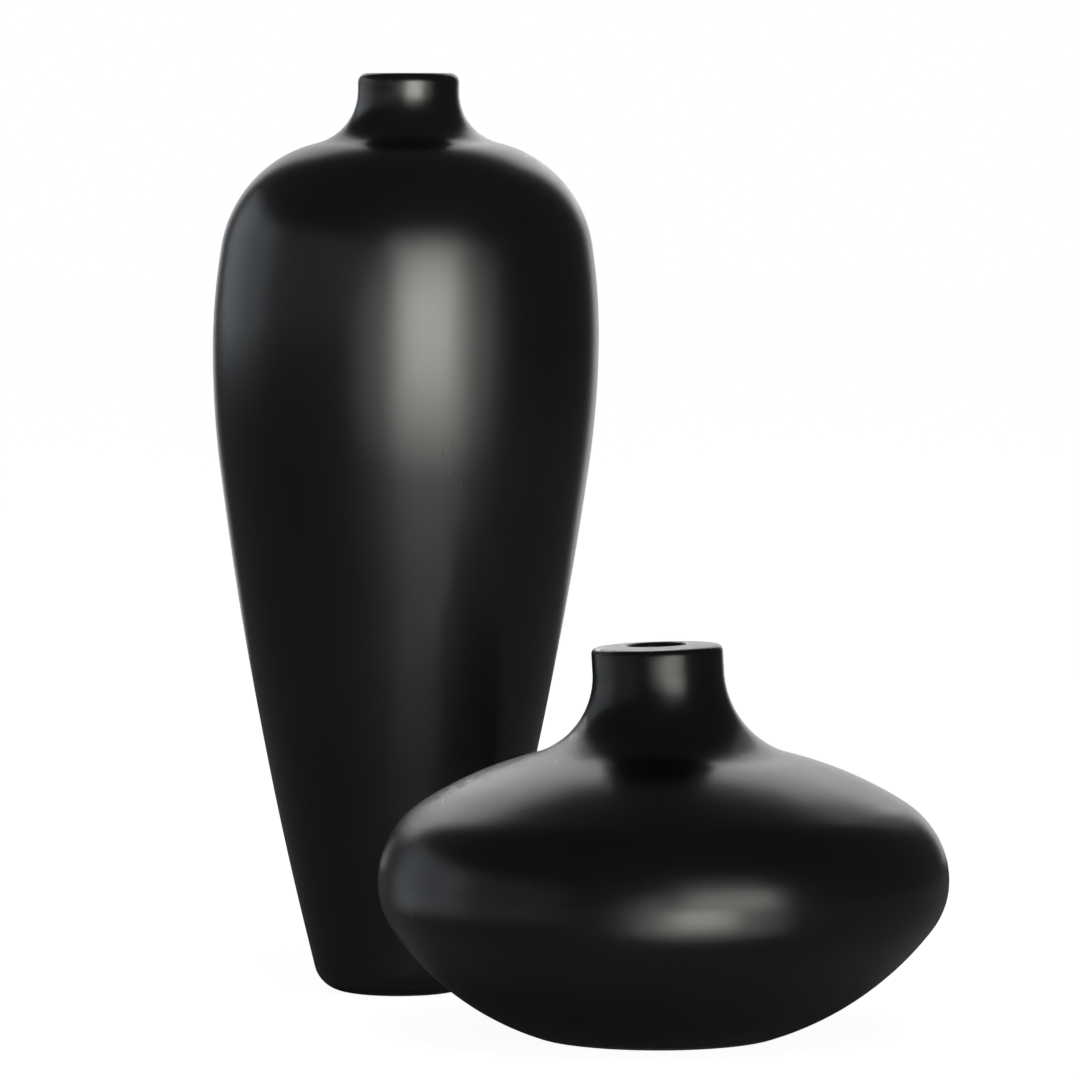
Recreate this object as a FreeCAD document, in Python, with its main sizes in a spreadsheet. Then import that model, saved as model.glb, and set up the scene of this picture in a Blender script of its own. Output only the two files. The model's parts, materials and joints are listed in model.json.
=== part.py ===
"""A tall pot and a low pot in burnished black clay, each thrown as one piece.

The origin is the middle of the tall pot's foot, on the surface that both pots stand on.
X runs to the right and Z runs up; the low pot stands to the right of the tall pot and in front of it.
"""
import FreeCAD, Part
import math
import os

import Sketcher

# Driving dimensions in millimetres: name, tall pot, low pot, what it measures.
POT_DIMENSIONS = [
    ("height", 400, 163, "foot to lip"),
    ("belly_radius", 83.9, 118.6, "outside of the clay at its widest"),
    ("belly_height", 283.4, 64.4, "foot to the widest point"),
    ("foot_radius", 23.5, 47, "where the flat foot ends and its rounding starts"),
    ("foot_round", 14, 14, "rounding from the foot into the wall"),
    ("wall_sweep", 1860, 123, "arc of the lower wall"),
    ("under_belly", 413, 32, "arc that leads up to the widest point"),
    ("over_belly", 264, 38.5, "arc that leads on from the widest point"),
    ("shoulder_sweep", 54, 162, "arc of the shoulder"),
    ("throat_sweep", 23, 36, "hollow arc from the shoulder into the neck"),
    ("neck_radius", 22, 27.3, "outside of the upright neck"),
    ("neck_height", 392, 151.8, "foot to where the neck stands upright"),
    ("lip_sweep", 320, 320, "gently domed top of the lip"),
    ("lip_round", 4, 2.5, "rounding of the lip's outer edge"),
    ("mouth_radius", 14.5, 12, "inside of the upright neck"),
    ("mouth_round", 3, 2, "rounding of the lip's inner edge"),
    ("wall", 6, 6.5, "thickness of the clay in the wall"),
    ("floor", 8, 8, "thickness of the clay over the foot"),
    ("floor_radius", 22, 50, "where the flat floor inside ends"),
    ("floor_round", 10, 20, "rounding from the floor inside into the wall"),
    ("dish_radius", 17, 38, "hollow under the foot, which leaves a ring to stand on"),
    ("dish_depth", 1.5, 2, "depth of that hollow in the middle"),
]

# Where the low pot stands, from the middle of the tall pot.
LOW_POT_PLACE = [
    ("low_right", 110, "to the right"),
    ("low_front", 152, "towards the front"),
]

# The arcs of a pot's outline, from the base up to the lip.
ARC_NAMES = (
    "base_round",
    "wall_sweep",
    "under_belly",
    "over_belly",
    "shoulder_sweep",
    "throat_sweep",
    "lip_sweep",
)

# How a sketch refers to the points of a piece of geometry, to its own origin and to its upright axis.
START, END, CENTRE = 1, 2, 3
ORIGIN = (-1, START)
UPRIGHT_AXIS = -2

TOLERANCE = 1e-4        # in millimetres


def make_sheet(doc):
    """Put every driving dimension in a cell of its own, named after its pot."""
    rows = []
    for name, tall, low, meaning in POT_DIMENSIONS:
        rows.append(("tall_" + name, tall, "tall pot, " + meaning))
        rows.append(("low_" + name, low, "low pot, " + meaning))
    for name, distance, meaning in LOW_POT_PLACE:
        rows.append((name, distance, "low pot, " + meaning))
    sheet = doc.addObject("Spreadsheet::Sheet", "Sizes")
    for row, (alias, value, meaning) in enumerate(rows, start=1):
        sheet.set(f"A{row}", alias)
        sheet.set(f"B{row}", str(value))
        sheet.set(f"C{row}", meaning)
        sheet.setAlias(f"B{row}", alias)
    doc.recompute()


def origin_feature(body, role):
    """The plane or axis of a body's own origin that has this role."""
    return next(feature for feature in body.Origin.OriginFeatures if feature.Role == role)


def outside_formulas(pot):
    """The dimensions of the outer outline, as formulas on the sheet.

    The lip's dome would go on rising to the axis, so its middle is higher than the lip's crest.
    """
    sheet = "Sizes." + pot + "_"
    crest = f"({sheet}mouth_radius + {sheet}mouth_round)"
    return {
        "base_height": "0 mm",
        "base_radius": sheet + "foot_radius",
        "base_round": sheet + "foot_round",
        "wall_sweep": sheet + "wall_sweep",
        "under_belly": sheet + "under_belly",
        "belly_radius": sheet + "belly_radius",
        "belly_height": sheet + "belly_height",
        "over_belly": sheet + "over_belly",
        "shoulder_sweep": sheet + "shoulder_sweep",
        "throat_sweep": sheet + "throat_sweep",
        "neck_radius": sheet + "neck_radius",
        "neck_height": sheet + "neck_height",
        "top_height": f"{sheet}height + {sheet}lip_sweep - sqrt({sheet}lip_sweep ^ 2 - {crest} ^ 2)",
        "lip_sweep": sheet + "lip_sweep",
    }


def inside_formulas(pot):
    """The dimensions of the hollow: the outer outline moved in by the wall's thickness.

    It goes on past the lip, so that cutting it out opens the mouth.
    """
    sheet = "Sizes." + pot + "_"
    thinner = " - " + sheet + "wall"
    formulas = outside_formulas(pot)
    formulas["base_height"] = sheet + "floor"
    formulas["base_radius"] = sheet + "floor_radius"
    formulas["base_round"] = sheet + "floor_round"
    for name in ("wall_sweep", "under_belly", "belly_radius", "over_belly", "shoulder_sweep"):
        formulas[name] += thinner
    formulas["throat_sweep"] += " + " + sheet + "neck_radius - " + sheet + "mouth_radius"
    formulas["neck_radius"] = sheet + "mouth_radius"
    formulas["top_height"] += " + " + sheet + "wall"
    return formulas


def centre_at(from_a, centre_a, from_b, centre_b, left):
    """The point at these distances from two centres, on the left or right going from A to B."""
    apart = centre_b - centre_a
    along = (from_a**2 - from_b**2 + apart.Length**2) / (2 * apart.Length)
    across = math.sqrt(from_a**2 - along**2)
    ahead = FreeCAD.Vector(apart).normalize()
    aside = FreeCAD.Vector(-ahead.y, ahead.x, 0)
    return centre_a + ahead * along + aside * (across if left else -across)


def outline_circles(size):
    """Centre and radius of the six circles that the outline follows, from the base to the neck."""
    base = FreeCAD.Vector(size["base_radius"], size["base_height"] + size["base_round"])
    under = FreeCAD.Vector(size["belly_radius"] - size["under_belly"], size["belly_height"])
    over = FreeCAD.Vector(size["belly_radius"] - size["over_belly"], size["belly_height"])
    throat = FreeCAD.Vector(size["neck_radius"] + size["throat_sweep"], size["neck_height"])
    wall = centre_at(
        size["wall_sweep"] - size["base_round"], base,
        size["wall_sweep"] - size["under_belly"], under,
        left=True,
    )
    shoulder = centre_at(
        abs(size["shoulder_sweep"] - size["over_belly"]), over,
        size["shoulder_sweep"] + size["throat_sweep"], throat,
        left=size["shoulder_sweep"] > size["over_belly"],
    )
    return [
        (base, size["base_round"]),
        (wall, size["wall_sweep"]),
        (under, size["under_belly"]),
        (over, size["over_belly"]),
        (shoulder, size["shoulder_sweep"]),
        (throat, size["throat_sweep"]),
    ]


def touch_inside(circle, other):
    """Where two circles touch when the smaller one lies inside the wider one."""
    (small, _), (wide, wide_radius) = sorted((circle, other), key=lambda pair: pair[1])
    return wide + (small - wide).normalize() * wide_radius


def touch_outside(circle, other):
    """Where two circles touch when they lie side by side."""
    centre, radius = circle
    return centre + (other[0] - centre).normalize() * radius


def arc_ends(circles, size):
    """The ends of the six arcs, from the base up to the neck."""
    ends = [FreeCAD.Vector(size["base_radius"], size["base_height"])]
    for circle, following in zip(circles[:4], circles[1:5]):
        ends.append(touch_inside(circle, following))
    ends.append(touch_outside(circles[4], circles[5]))
    ends.append(FreeCAD.Vector(size["neck_radius"], size["neck_height"]))
    return ends


def add_arc(sketch, circle, start, end):
    """An arc of this circle, counter-clockwise from start to end."""
    centre, radius = circle
    angles = [math.atan2(point.y - centre.y, point.x - centre.x) for point in (start, end)]
    whole = Part.Circle(centre, FreeCAD.Vector(0, 0, 1), radius)
    return sketch.addGeometry(Part.ArcOfCircle(whole, angles[0], angles[1]))


def add_line(sketch, start, end):
    """A straight line between two points of the sketch."""
    return sketch.addGeometry(Part.LineSegment(start, end))


def bind(sketch, name, formula, kind, *place):
    """Add a dimension to the sketch, name it and drive it from the sheet."""
    value = measure(sketch, formula)
    index = sketch.addConstraint(Sketcher.Constraint(kind, *place, value))
    sketch.renameConstraint(index, name)
    sketch.setExpression("Constraints." + name, formula)


def measure(thing, formula):
    """The value of a formula on the sheet, in millimetres."""
    value = thing.evalExpression(formula)
    return float(getattr(value, "Value", value))


def new_sketch(body, name):
    """An empty sketch on the body's own XZ plane, where the sketch's Y is the pot's height."""
    sketch = body.newObject("Sketcher::SketchObject", name)
    sketch.AttachmentSupport = (origin_feature(body, "XZ_Plane"), [""])
    sketch.MapMode = "FlatFace"
    return sketch


def draw_outline(sketch, formulas):
    """Half of a pot's upright section: base, six arcs that run into each other, neck, top and axis."""
    size = {name: measure(sketch, formula) for name, formula in formulas.items()}
    circles = outline_circles(size)
    ends = arc_ends(circles, size)
    axis_foot = FreeCAD.Vector(0, size["base_height"])
    axis_top = FreeCAD.Vector(0, size["top_height"])
    dome_centre = FreeCAD.Vector(0, size["top_height"] - size["lip_sweep"])
    dome_rise = math.sqrt(size["lip_sweep"] ** 2 - size["neck_radius"] ** 2)
    neck_top = dome_centre + FreeCAD.Vector(size["neck_radius"], dome_rise)

    base = add_line(sketch, axis_foot, ends[0])
    bulging = [
        add_arc(sketch, circle, start, end)
        for circle, start, end in zip(circles[:5], ends[:5], ends[1:6])
    ]
    throat = add_arc(sketch, circles[5], ends[6], ends[5])
    neck = add_line(sketch, ends[6], neck_top)
    top = add_arc(sketch, (dome_centre, size["lip_sweep"]), neck_top, axis_top)
    axis = add_line(sketch, axis_top, axis_foot)

    # Neighbours meet end to start; the throat alone runs downwards, so it meets end to end.
    smooth = [(base, END, bulging[0], START)]
    smooth += [(arc, END, following, START) for arc, following in zip(bulging, bulging[1:])]
    smooth += [(bulging[-1], END, throat, END), (throat, START, neck, START)]
    for pair in smooth:
        sketch.addConstraint(Sketcher.Constraint("Tangent", *pair))
    for pair in ((neck, END, top, START), (top, END, axis, START), (axis, END, base, START)):
        sketch.addConstraint(Sketcher.Constraint("Coincident", *pair))
    for point in ((base, START), (top, END), (top, CENTRE)):
        sketch.addConstraint(Sketcher.Constraint("PointOnObject", *point, UPRIGHT_AXIS))
    sketch.addConstraint(Sketcher.Constraint("Horizontal", base))
    sketch.addConstraint(Sketcher.Constraint("Vertical", neck))

    under = bulging[2]
    over = bulging[3]
    sketch.addConstraint(Sketcher.Constraint("Horizontal", over, CENTRE, over, START))
    for name, arc in zip(ARC_NAMES, bulging + [throat, top]):
        bind(sketch, name, formulas[name], "Radius", arc)
    across = (
        ("base_radius", base, END),
        ("belly_radius", under, END),
        ("neck_radius", neck, START),
    )
    for name, piece, end in across:
        bind(sketch, name, formulas[name], "DistanceX", *ORIGIN, piece, end)
    upwards = (
        ("base_height", base, END),
        ("belly_height", under, END),
        ("neck_height", neck, START),
        ("top_height", top, END),
    )
    for name, piece, end in upwards:
        bind(sketch, name, formulas[name], "DistanceY", *ORIGIN, piece, end)


def draw_dish(sketch, pot):
    """Half of the shallow hollow under a foot: one arc from the axis down to the standing ring."""
    reach_formula = "Sizes." + pot + "_dish_radius"
    depth_formula = "Sizes." + pot + "_dish_depth"
    reach = measure(sketch, reach_formula)
    depth = measure(sketch, depth_formula)
    radius = (reach**2 + depth**2) / (2 * depth)
    middle = FreeCAD.Vector(0, 0)
    edge = FreeCAD.Vector(reach, 0)
    crown = FreeCAD.Vector(0, depth)
    arc = add_arc(sketch, (FreeCAD.Vector(0, depth - radius), radius), edge, crown)
    base = add_line(sketch, middle, edge)
    axis = add_line(sketch, crown, middle)
    for pair in ((base, END, arc, START), (arc, END, axis, START), (axis, END, base, START)):
        sketch.addConstraint(Sketcher.Constraint("Coincident", *pair))
    sketch.addConstraint(Sketcher.Constraint("Coincident", base, START, *ORIGIN))
    sketch.addConstraint(Sketcher.Constraint("Horizontal", base))
    sketch.addConstraint(Sketcher.Constraint("Vertical", axis))
    sketch.addConstraint(Sketcher.Constraint("PointOnObject", arc, CENTRE, UPRIGHT_AXIS))
    bind(sketch, "dish_radius", reach_formula, "DistanceX", *ORIGIN, base, END)
    bind(sketch, "dish_depth", depth_formula, "DistanceY", *ORIGIN, axis, START)


def turn(body, kind, name, sketch):
    """Revolve a sketch once around the pot's upright axis, as a solid or as a cut."""
    feature = body.newObject("PartDesign::" + kind, name)
    feature.Profile = sketch
    feature.ReferenceAxis = (origin_feature(body, "Z_Axis"), [""])
    feature.Angle = 360
    sketch.Visibility = False
    body.Document.recompute()
    return feature


def rim_edges(shape, radius):
    """Names of the highest circular edges of this radius."""
    rings = [
        (edge.BoundBox.ZMin, f"Edge{number}")
        for number, edge in enumerate(shape.Edges, start=1)
        if abs(edge.BoundBox.XMax - radius) < TOLERANCE and edge.BoundBox.ZLength < TOLERANCE
    ]
    highest = max(rings)[0]
    return [name for height, name in rings if abs(height - highest) < TOLERANCE]


def round_rim(body, name, base, rim_radius, round_formula):
    """Round the edge of this radius at the top of the pot."""
    edge_names = rim_edges(base.Shape, rim_radius)
    fillet = body.newObject("PartDesign::Fillet", name)
    fillet.Base = (base, edge_names)
    fillet.setExpression("Radius", round_formula)
    body.Document.recompute()
    return fillet


def check_removed(before, after):
    """Stop if a cut has taken nothing off the clay."""
    if not after.Shape.Volume < before.Shape.Volume - TOLERANCE:
        raise RuntimeError(after.Name + " removes no clay")


def make_pot(doc, pot):
    """One pot: turned outside, hollowed inside, lip rounded on both edges, foot hollowed below."""
    body = doc.addObject("PartDesign::Body", pot + "_pot")
    body.Label = pot + "_pot"
    sheet = "Sizes." + pot + "_"

    outside = new_sketch(body, pot + "_outside")
    draw_outline(outside, outside_formulas(pot))
    clay = turn(body, "Revolution", pot + "_clay", outside)

    inside = new_sketch(body, pot + "_inside")
    draw_outline(inside, inside_formulas(pot))
    hollow = turn(body, "Groove", pot + "_hollow", inside)
    check_removed(clay, hollow)

    dish = new_sketch(body, pot + "_dish")
    draw_dish(dish, pot)
    foot = turn(body, "Groove", pot + "_foot_ring", dish)
    check_removed(hollow, foot)

    neck_radius = measure(body, sheet + "neck_radius")
    mouth_radius = measure(body, sheet + "mouth_radius")
    lip = round_rim(body, pot + "_lip", foot, neck_radius, sheet + "lip_round")
    mouth = round_rim(body, pot + "_mouth", lip, mouth_radius, sheet + "mouth_round")
    check_removed(lip, mouth)
    body.Tip = mouth
    return body


def check_document(doc, pots):
    """Stop if any object has failed or a pot is not one valid solid."""
    for thing in doc.Objects:
        if {"Invalid", "Error"} & set(thing.State):
            raise RuntimeError(thing.Name + " has failed")
        if thing.isDerivedFrom("Sketcher::SketchObject") and thing.solve() != 0:
            raise RuntimeError(thing.Name + " does not solve")
    for pot in pots:
        if pot.Shape.isNull() or not pot.Shape.isValid() or len(pot.Shape.Solids) != 1:
            raise RuntimeError(pot.Label + " is not one valid solid")


def main():
    doc = FreeCAD.newDocument("BarroNegroPots")
    make_sheet(doc)
    tall = make_pot(doc, "tall")
    low = make_pot(doc, "low")
    low.setExpression("Placement.Base.x", "Sizes.low_right")
    low.setExpression("Placement.Base.y", "-Sizes.low_front")
    doc.recompute()
    pots = [tall, low]
    check_document(doc, pots)
    os.makedirs("parts", exist_ok=True)
    for pot in pots:
        pot.Shape.exportStep(f"parts/{pot.Label}.step")
        print(pot.Label, f"holds {pot.Shape.Volume / 1000:.0f} cubic centimetres of clay")


main()
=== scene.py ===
import json
import math

import bpy
from mathutils import Euler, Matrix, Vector, noise


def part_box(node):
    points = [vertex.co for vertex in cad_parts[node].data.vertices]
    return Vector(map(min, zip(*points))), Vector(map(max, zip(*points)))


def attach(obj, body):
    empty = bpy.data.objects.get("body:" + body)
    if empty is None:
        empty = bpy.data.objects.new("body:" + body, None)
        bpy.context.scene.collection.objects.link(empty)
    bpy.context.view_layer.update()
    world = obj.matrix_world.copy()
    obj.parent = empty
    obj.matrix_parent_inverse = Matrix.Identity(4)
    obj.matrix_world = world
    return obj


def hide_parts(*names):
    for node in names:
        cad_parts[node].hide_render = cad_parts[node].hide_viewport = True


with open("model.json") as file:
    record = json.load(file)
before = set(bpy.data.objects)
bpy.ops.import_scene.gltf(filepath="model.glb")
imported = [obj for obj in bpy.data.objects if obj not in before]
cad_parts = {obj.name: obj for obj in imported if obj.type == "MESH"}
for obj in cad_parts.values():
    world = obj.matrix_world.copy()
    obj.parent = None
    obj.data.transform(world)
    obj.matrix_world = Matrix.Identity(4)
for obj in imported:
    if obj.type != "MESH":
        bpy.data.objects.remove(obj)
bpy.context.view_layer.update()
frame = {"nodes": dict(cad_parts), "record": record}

# ---------------------------------------------------------------- the pots' outlines

SEGMENTS = 144          # faces around a pot
LONGEST_STEP = 0.003    # between two rings of a pot, in metres
SHORTEST_STEP = 0.0004
UNEVEN_STEPS = 3        # a step this many times longer than one beside it is filled in straight, not curved
SEAM = 1e-6             # how near a vertex lies to the half-plane that the outline is read from


def seam_links(node, centre):
    """The CAD node's vertices on the half-plane to the right of its axis, as (radius, height) pairs,
    each with the neighbours that an edge of the mesh joins it to."""
    mesh = frame["nodes"][node].data

    def key(vertex):
        away = vertex.co - centre
        on_plane = abs(away.y) < SEAM and away.x > -SEAM
        return (round(max(away.x, 0.0), 6), round(away.z, 6)) if on_plane else None

    keys = [key(vertex) for vertex in mesh.vertices]
    links = {}
    for edge in mesh.edges:
        a, b = (keys[index] for index in edge.vertices)
        if a and b and a != b:
            links.setdefault(a, set()).add(b)
            links.setdefault(b, set()).add(a)
    return links


def outline_of(node, centre):
    """The pot's section from the middle of its foot, up the outside, over the lip and down the inside.
    The flat rings have no edge on the half-plane, so there the walk goes on at the same height."""
    links = seam_links(node, centre)
    point = min((p for p in links if p[0] < SEAM), key=lambda p: p[1])
    outline = [point]
    left = set(links) - {point}
    while left:
        ways = links[point] & left
        if not ways:
            ways = {p for p in left if abs(p[1] - point[1]) < SEAM}
        if not ways:
            break
        point = min(ways, key=lambda p: math.dist(p, outline[-1]))
        outline.append(point)
        left.discard(point)
    outline.append((0.0, outline[-1][1]))
    return [Vector(p) for p in outline]


def smooth_point(before, start, end, after, share):
    """A point on the smooth curve through four points, between the middle two."""
    squared = share * share
    cubed = squared * share
    return 0.5 * (
        2 * start
        + (end - before) * share
        + (2 * before - 5 * start + 4 * end - after) * squared
        + (3 * start - before - 3 * end + after) * cubed
    )


def even_rings(outline):
    """The outline with crowded points dropped and long steps filled in: along a smooth curve where the
    steps are even, and straight where a flat or an edge makes them uneven."""
    kept = [outline[0]]
    for point in outline[1:-1]:
        if (point - kept[-1]).length > SHORTEST_STEP:
            kept.append(point)
    kept.append(outline[-1])
    rings = []
    for index in range(len(kept) - 1):
        start, end = kept[index], kept[index + 1]
        before = kept[max(index - 1, 0)]
        after = kept[min(index + 2, len(kept) - 1)]
        steps = math.ceil((end - start).length / LONGEST_STEP)
        shorter = min((start - before).length, (after - end).length)
        even = (end - start).length < UNEVEN_STEPS * shorter
        for step in range(steps):
            share = step / steps
            curved = smooth_point(before, start, end, after, share)
            rings.append(curved if even else start.lerp(end, share))
    rings.append(kept[-1])
    return rings


# ---------------------------------------------------------------- the pots' meshes

WAVER = 0.00015         # how far a hand-burnished wall wavers from a true circle
WAVER_LENGTH = 0.07     # the distance over which it does so
FOOT_CALM = 8           # the wavering grows from none at the floor to all of it at 1/8 of the height
LIP_START = 0.8         # the share of the height above which the pot tilts with its lip
BURNISHED_DEPTH = 0.009 # how far the burnishing reaches down inside the mouth
FOOT_RISE = 0.0022      # the foot's ring and the hollow under it lie lower than this

# How each pot is off true, as hand-built pots are: how far its axis leans to the right by the top, how far
# it bows to the right halfway up, and how steeply its lip rises to the right.
OFF_TRUE = {
    "tall_pot": {"lean": 0.0046, "bow": 0.0, "slant": 0.0},
    "low_pot": {"lean": 0.0, "bow": 0.0030, "slant": 0.035},
}


def hand_made(point, height, lean, bow, slant):
    """Moves a point of a true pot to where it is on the hand-built one."""
    share = point.z / height
    near_lip = min(max((share - LIP_START) / (1 - LIP_START), 0.0), 1.0)
    slide = Vector((lean * share + bow * math.sin(math.pi * share), 0, slant * point.x * near_lip**2))
    outward = Vector((point.x, point.y, 0))
    if outward.length > SEAM:
        outward.normalize()
    waver = WAVER * noise.noise(point / WAVER_LENGTH) * min(1.0, FOOT_CALM * share)
    return point + slide + outward * waver


def foot_of(node):
    """Where the node's axis meets the floor: the middle of its foot."""
    foot = node.replace("_pot", "_foot")
    return next(Vector(mount["pos_m"]) for mount in frame["record"]["mounts"] if mount["name"] == foot)


def raw_bands(rings):
    """For each band between two rings, 1 where it is left raw: the hollow and the foot's underside."""
    crest = max(range(len(rings)), key=lambda index: rings[index].y)
    lowest_burnished = rings[crest].y - BURNISHED_DEPTH
    return [
        int(max(start.y, end.y) < (FOOT_RISE if index < crest else lowest_burnished))
        for index, (start, end) in enumerate(zip(rings, rings[1:]))
    ]


def pot_mesh(name, node, outside, raw):
    """A turned pot as one closed mesh: quads around its axis, with a fan at each end of the outline."""
    centre = foot_of(node)
    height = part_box(node)[1].z
    rings = even_rings(outline_of(node, centre))
    verts = []
    for ring in rings[1:-1]:
        for segment in range(SEGMENTS):
            turn = 2 * math.pi * segment / SEGMENTS
            point = Vector((ring.x * math.cos(turn), ring.x * math.sin(turn), ring.y))
            verts.append(centre + hand_made(point, height, **OFF_TRUE[node]))
    foot_middle = len(verts)
    floor_middle = foot_middle + 1
    for ring in (rings[0], rings[-1]):
        verts.append(centre + hand_made(Vector((0, 0, ring.y)), height, **OFF_TRUE[node]))

    bands = raw_bands(rings)
    last_ring = len(rings) - 3
    top = last_ring * SEGMENTS
    faces = []
    kinds = []
    for segment in range(SEGMENTS):
        following = (segment + 1) % SEGMENTS
        faces.append((foot_middle, following, segment))
        kinds.append(bands[0])
        for ring in range(last_ring):
            below = ring * SEGMENTS
            above = below + SEGMENTS
            faces.append((below + segment, below + following, above + following, above + segment))
            kinds.append(bands[ring + 1])
        faces.append((floor_middle, top + segment, top + following))
        kinds.append(bands[-1])
    mesh = bpy.data.meshes.new(name)
    mesh.from_pydata(verts, [], faces)
    mesh.materials.append(outside)
    mesh.materials.append(raw)
    mesh.polygons.foreach_set("material_index", kinds)
    mesh.shade_smooth()
    pot = bpy.data.objects.new(name, mesh)
    bpy.context.scene.collection.objects.link(pot)
    return pot


# ---------------------------------------------------------------- materials

BURNISHED_DARK = (0.0026, 0.0026, 0.0030, 1)    # nearly all that is seen of the clay is its sheen
BURNISHED_PALE = (0.0036, 0.0036, 0.0039, 1)
RAW_DARK = (0.016, 0.016, 0.016, 1)
RAW_PALE = (0.030, 0.029, 0.028, 1)
BURNISHED_ROUGHNESS = (0.24, 0.27)
STROKE_ROUGHNESS = 0.01 # how much rougher or smoother than that a single stroke is
RAW_ROUGHNESS = (0.70, 0.85)
CLAY_IOR = 1.5
MIX_A = 6               # a Mix node's colour sockets share their names with others, so they go by number
MIX_B = 7
MIX_RESULT = 2

# The scales of the noises, in cycles to a metre, roughly.
STROKES = 260
UPRIGHT = (1, 1, 0.12)  # draws the strokes out along the pot's axis
CLOUDS = 14
GRAIN = 2600
RAW_CLOUDS = 30
GRIT = 900


class Graph:
    """A short way to write a material's nodes."""

    def __init__(self, name):
        self.material = bpy.data.materials.new(name)
        self.material.use_nodes = True
        self.tree = self.material.node_tree
        self.shader = self.tree.nodes["Principled BSDF"]

    def add(self, kind, **inputs):
        """A node of this kind, with each named input set to a value or linked to a socket."""
        node = self.tree.nodes.new("ShaderNode" + kind)
        for name, value in inputs.items():
            self.feed(node, name.replace("_", " "), value)
        return node

    def feed(self, node, name, value):
        """Sets or links one input of a node."""
        if isinstance(value, bpy.types.NodeSocket):
            self.tree.links.new(value, node.inputs[name])
        else:
            node.inputs[name].default_value = value

    def mix(self, factor, dark, pale):
        """A colour between two others."""
        node = self.add("Mix", Factor=factor)
        node.data_type = "RGBA"
        self.feed(node, MIX_A, dark)
        self.feed(node, MIX_B, pale)
        return node.outputs[MIX_RESULT]

    def ramp(self, factor, low, high, least, most):
        """Maps a factor between low and high to a value between least and most."""
        node = self.add("MapRange", Value=factor)
        node.inputs["From Min"].default_value = low
        node.inputs["From Max"].default_value = high
        node.inputs["To Min"].default_value = least
        node.inputs["To Max"].default_value = most
        return node.outputs["Result"]

    def noise(self, vector, scale, detail, roughness=0.5):
        """Fractal noise in object space."""
        node = self.add("TexNoise", Vector=vector, Scale=scale, Detail=detail, Roughness=roughness)
        return node.outputs["Fac"]


def object_space(graph, stretch=(1, 1, 1)):
    """Object coordinates, stretched along each axis."""
    place = graph.add("TexCoord").outputs["Object"]
    mapping = graph.add("Mapping", Vector=place)
    mapping.inputs["Scale"].default_value = stretch
    return mapping.outputs["Vector"]


def burnished_clay(name):
    """Black clay rubbed to a satin sheen: fine upright strokes, a faint grain and cloudy patches."""
    graph = Graph(name)
    place = object_space(graph)
    strokes = graph.noise(object_space(graph, UPRIGHT), STROKES, 2.0)
    clouds = graph.noise(place, CLOUDS, 3.0)
    grain = graph.noise(place, GRAIN, 2.0, 0.6)

    patches = graph.ramp(clouds, 0.35, 0.65, 0.0, 1.0)
    graph.feed(graph.shader, "Base Color", graph.mix(patches, BURNISHED_DARK, BURNISHED_PALE))

    cloudy = graph.ramp(clouds, 0.3, 0.7, *BURNISHED_ROUGHNESS)
    stroked = graph.ramp(strokes, 0.3, 0.7, -STROKE_ROUGHNESS, STROKE_ROUGHNESS)
    sheen = graph.add("Math", Value=cloudy)
    sheen.operation = "ADD"
    graph.tree.links.new(stroked, sheen.inputs[1])
    graph.feed(graph.shader, "Roughness", sheen.outputs["Value"])

    low_strokes = graph.add("Bump", Height=strokes, Strength=0.015, Distance=0.0003)
    fine_grain = graph.add("Bump", Height=grain, Strength=0.03, Distance=0.0001)
    graph.feed(fine_grain, "Normal", low_strokes.outputs["Normal"])
    graph.feed(graph.shader, "Normal", fine_grain.outputs["Normal"])
    graph.shader.inputs["IOR"].default_value = CLAY_IOR
    return graph.material


def raw_clay(name):
    """The same clay where no burnishing stone has been: dull, paler and gritty."""
    graph = Graph(name)
    place = object_space(graph)
    grit = graph.noise(place, GRIT, 4.0, 0.65)
    clouds = graph.noise(place, RAW_CLOUDS, 2.0)
    graph.feed(graph.shader, "Base Color", graph.mix(clouds, RAW_DARK, RAW_PALE))
    graph.feed(graph.shader, "Roughness", graph.ramp(grit, 0.3, 0.7, *RAW_ROUGHNESS))
    bump = graph.add("Bump", Height=grit, Strength=0.25, Distance=0.0004)
    graph.feed(graph.shader, "Normal", bump.outputs["Normal"])
    return graph.material


# ---------------------------------------------------------------- the two pots

clay_outside = burnished_clay("burnished_black_clay")
clay_raw = raw_clay("raw_black_clay")

pots = {}
for node, slot in (("tall_pot", "tall_clay"), ("low_pot", "low_clay")):
    pot = pot_mesh(node + "_clay", node, clay_outside, clay_raw)
    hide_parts(node)
    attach(pot, "root")
    pots[node] = pot

# ---------------------------------------------------------------- floor, world, lamps and camera

WHITE_PAINT = (0.8, 0.8, 0.8, 1)
FULL_WHITE = (1, 1, 1, 1)
FLOOR_REACH = 12.0      # from the tall pot to the floor's edges
FLOOR_GLOW = 0.945      # the light that falls on the floor makes up the rest of its white
BACKDROP_GLOW = 1.0
BACKDROP_LEFT = -0.55
BACKDROP_RIGHT = 0.75
BACKDROP_TOP = 1.45
BACKDROP_BEHIND = 1.3   # how far behind the tall pot it stands
ROOM_GREY = (0.065, 0.065, 0.068, 1)


def glowing_white(name, glow, ray):
    """A plain matte white, which glows as well for one kind of ray: the camera's or a mirror image's."""
    graph = Graph(name)
    shader = graph.shader
    shader.inputs["Base Color"].default_value = WHITE_PAINT
    shader.inputs["Roughness"].default_value = 1.0
    shader.inputs["Specular IOR Level"].default_value = 0.0
    strength = graph.add("Math", Value=graph.add("LightPath").outputs[ray])
    strength.operation = "MULTIPLY"
    strength.inputs[1].default_value = glow
    shader.inputs["Emission Color"].default_value = FULL_WHITE
    graph.feed(shader, "Emission Strength", strength.outputs["Value"])
    return graph.material


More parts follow.
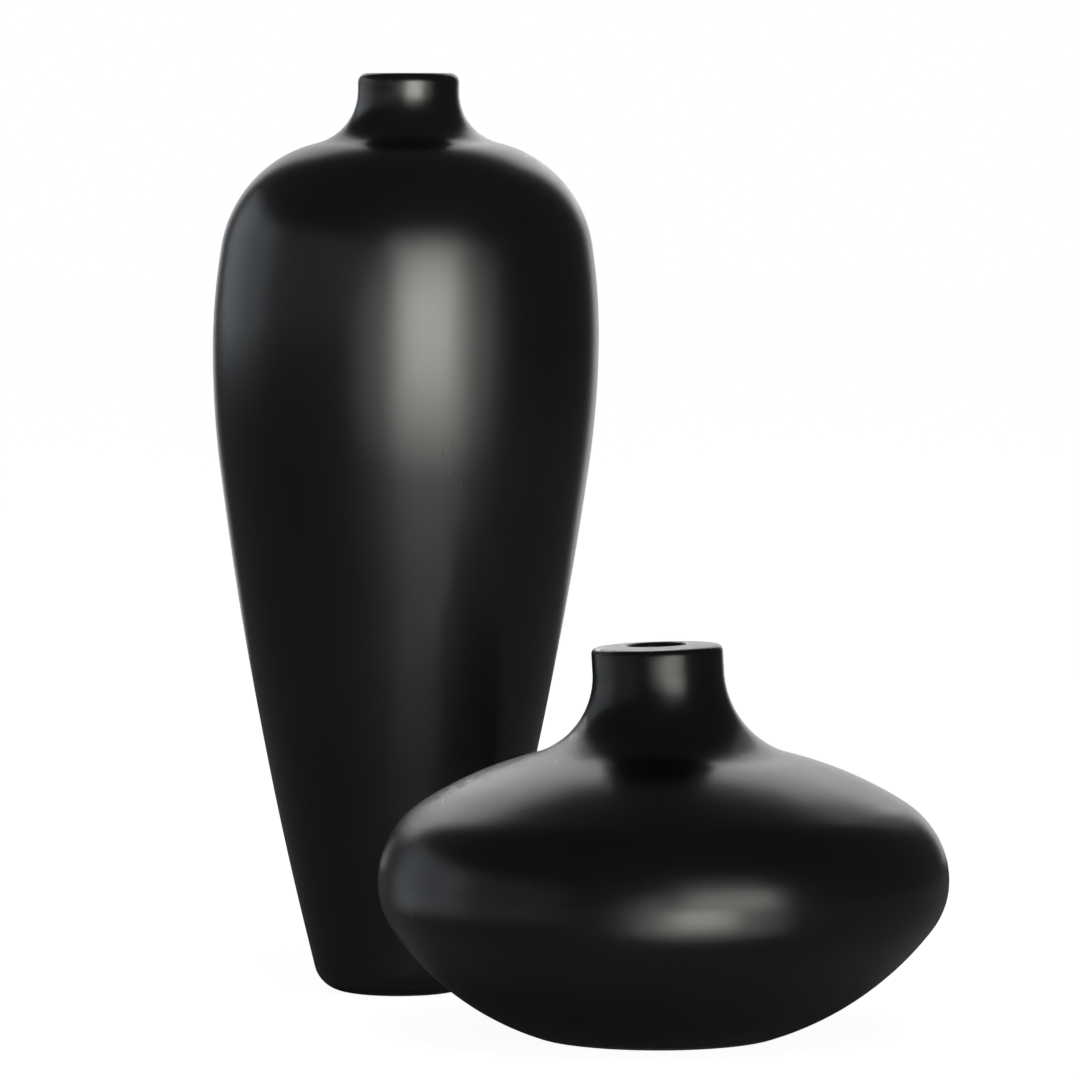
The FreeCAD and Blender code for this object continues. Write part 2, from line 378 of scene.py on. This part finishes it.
def flat(name, corners, material):
    """A flat four-cornered piece of the stage."""
    mesh = bpy.data.meshes.new(name)
    mesh.from_pydata(corners, [], [(0, 1, 2, 3)])
    mesh.materials.append(material)
    piece = bpy.data.objects.new(name, mesh)
    bpy.context.scene.collection.objects.link(piece)
    return piece


def make_stage():
    """A white floor, and a white backdrop that shows only as a mirror image in the pots' sides."""
    floor = flat(
        "floor",
        [(-FLOOR_REACH, -FLOOR_REACH, 0), (FLOOR_REACH, -FLOOR_REACH, 0),
         (FLOOR_REACH, FLOOR_REACH, 0), (-FLOOR_REACH, FLOOR_REACH, 0)],
        glowing_white("white_floor", FLOOR_GLOW, "Is Camera Ray"),
    )
    backdrop = flat(
        "backdrop",
        [(BACKDROP_LEFT, BACKDROP_BEHIND, 0), (BACKDROP_RIGHT, BACKDROP_BEHIND, 0),
         (BACKDROP_RIGHT, BACKDROP_BEHIND, BACKDROP_TOP), (BACKDROP_LEFT, BACKDROP_BEHIND, BACKDROP_TOP)],
        glowing_white("white_backdrop", BACKDROP_GLOW, "Is Glossy Ray"),
    )
    backdrop.visible_camera = False
    return floor


def make_world():
    """White to the camera and a dim grey room to everything else."""
    world = bpy.data.worlds.new("studio")
    bpy.context.scene.world = world
    world.use_nodes = True
    tree = world.node_tree
    background = tree.nodes["Background"]
    path = tree.nodes.new("ShaderNodeLightPath")
    colour = tree.nodes.new("ShaderNodeMix")
    colour.data_type = "RGBA"
    colour.inputs[MIX_A].default_value = ROOM_GREY
    colour.inputs[MIX_B].default_value = FULL_WHITE
    tree.links.new(path.outputs["Is Camera Ray"], colour.inputs["Factor"])
    tree.links.new(colour.outputs[MIX_RESULT], background.inputs["Color"])
    background.inputs["Strength"].default_value = 1.0


def only_for(name, things):
    """A collection for light linking, which holds these objects alone."""
    group = bpy.data.collections.new(name)
    for thing in things:
        group.objects.link(thing)
    return group


LAMP_DISTANCE = 3.0


def softbox(name, aim, lit, shading, side, rise, wide, high, glow, colour):
    """A rectangular lamp that faces the point aim, placed as a row of the tables below says. Only the lit
    things take its light, and only the shading ones stop it, even where the lamp is below the floor or
    behind the backdrop. So multiple importance sampling is off: it looks for a lamp along mirrored rays
    too, and the floor and the backdrop stop those."""
    direction = Vector((
        math.sin(math.radians(side)) * math.cos(math.radians(rise)),
        -math.cos(math.radians(side)) * math.cos(math.radians(rise)),
        math.sin(math.radians(rise)),
    ))
    light = bpy.data.lights.new(name, "AREA")
    light.shape = "RECTANGLE"
    light.size = 2 * LAMP_DISTANCE * math.tan(math.radians(wide / 2))
    light.size_y = 2 * LAMP_DISTANCE * math.tan(math.radians(high / 2))
    light.energy = glow * math.pi * light.size * light.size_y
    light.color = colour
    light.cycles.use_multiple_importance_sampling = False
    lamp = bpy.data.objects.new(name, light)
    lamp.location = aim + direction * LAMP_DISTANCE
    lamp.rotation_euler = direction.to_track_quat("Z", "Y").to_euler()
    lamp.visible_camera = False
    lamp.light_linking.receiver_collection = only_for(name + "_lit", lit)
    lamp.light_linking.blocker_collection = only_for(name + "_shading", shading)
    bpy.context.scene.collection.objects.link(lamp)


WARM = (1.0, 1.0, 0.94)
COOL = (0.86, 0.93, 1.0)
WHITE = (1.0, 1.0, 1.0)

# Each row is a lamp's name, its angle to the right of the front, its angle above level, its width and its
# height, all four in degrees as seen from the point it faces, then its brightness, where 1 is a white
# wall's, and its colour.
TALL_LAMPS = (
    ("key_wide", 14, 1, 84, 32, 1.2, WARM),
    ("key", 15, 0, 46, 28, 3.2, WARM),
    ("key_core", 14, 4, 30, 22, 5.2, WARM),
    ("key_low", 14, -24, 30, 16, 0.35, COOL),
    ("key_top", 14, 22, 42, 20, 1.6, WARM),
    ("left", -118, 13, 50, 28, 0.8, COOL),
    ("left_front", -62, 14, 66, 28, 0.3, COOL),
    ("right_back", 165, 22, 20, 30, 0.6, WHITE),
)
LOW_LAMPS = (
    ("key_wide", 17, -14, 60, 56, 1.1, WARM),
    ("key", 14, -20, 28, 28, 2.5, WARM),
    ("key_core", 14, -16, 22, 20, 3.0, WARM),
    ("key_upper", 26, 7, 34, 24, 2.6, WARM),
    ("key_lower", 12, -40, 26, 16, 0.6, WARM),
    ("key_top", 22, 24, 30, 16, 0.5, WARM),
    ("left", -112, 3, 48, 38, 0.5, COOL),
    ("left_front", -70, 0, 60, 44, 0.2, COOL),
    ("right_back", 164, 32, 34, 28, 0.5, WHITE),
    ("left_back", -162, 28, 32, 32, 1.4, WHITE),
)
FLOOR_LAMP = ("floor_lamp", 20, 60, 40, 40, 0.6, WHITE)

TALL_AIM = 0.24         # the lamps face this height on the tall pot's axis
LOW_AIM = 0.09
FLOOR_AIM = Vector((0.05, -0.06, 0))


def make_lamps(floor):
    """Each pot is lit on its own, as if the other weren't there; the floor keeps the shadows of both."""
    for node, lamps, rise in (("tall_pot", TALL_LAMPS, TALL_AIM), ("low_pot", LOW_LAMPS, LOW_AIM)):
        aim = foot_of(node) + Vector((0, 0, rise))
        pot = pots[node]
        for lamp, *place in lamps:
            softbox(node + "_" + lamp, aim, [pot], [pot], *place)
    lamp, *place = FLOOR_LAMP
    softbox(lamp, FLOOR_AIM, [floor], pots.values(), *place)


LENS = 233.3            # millimetres
SENSOR_WIDTH = 36
FARTHEST = 100          # what the camera sees ends here, in metres
VIEW_DISTANCE = 3.0445  # from the tall pot's axis
VIEW_RIGHT = 0.0616     # the camera stands this far to the right of the tall pot's axis
VIEW_HEIGHT = 0.385
PITCH = math.radians(3.535)


def make_camera():
    """A long lens, just under the level of the tall pot's lip and tilted down a little."""
    data = bpy.data.cameras.new("camera")
    data.lens = LENS
    data.sensor_width = SENSOR_WIDTH
    data.clip_end = FARTHEST
    camera = bpy.data.objects.new("camera", data)
    camera.location = (VIEW_RIGHT, -VIEW_DISTANCE, VIEW_HEIGHT)
    camera.rotation_euler = Euler((math.pi / 2 - PITCH, 0, 0))
    bpy.context.scene.collection.objects.link(camera)
    bpy.context.scene.camera = camera


floor = make_stage()
make_world()
make_lamps(floor)
make_camera()
bpy.context.scene.view_settings.view_transform = "Standard"
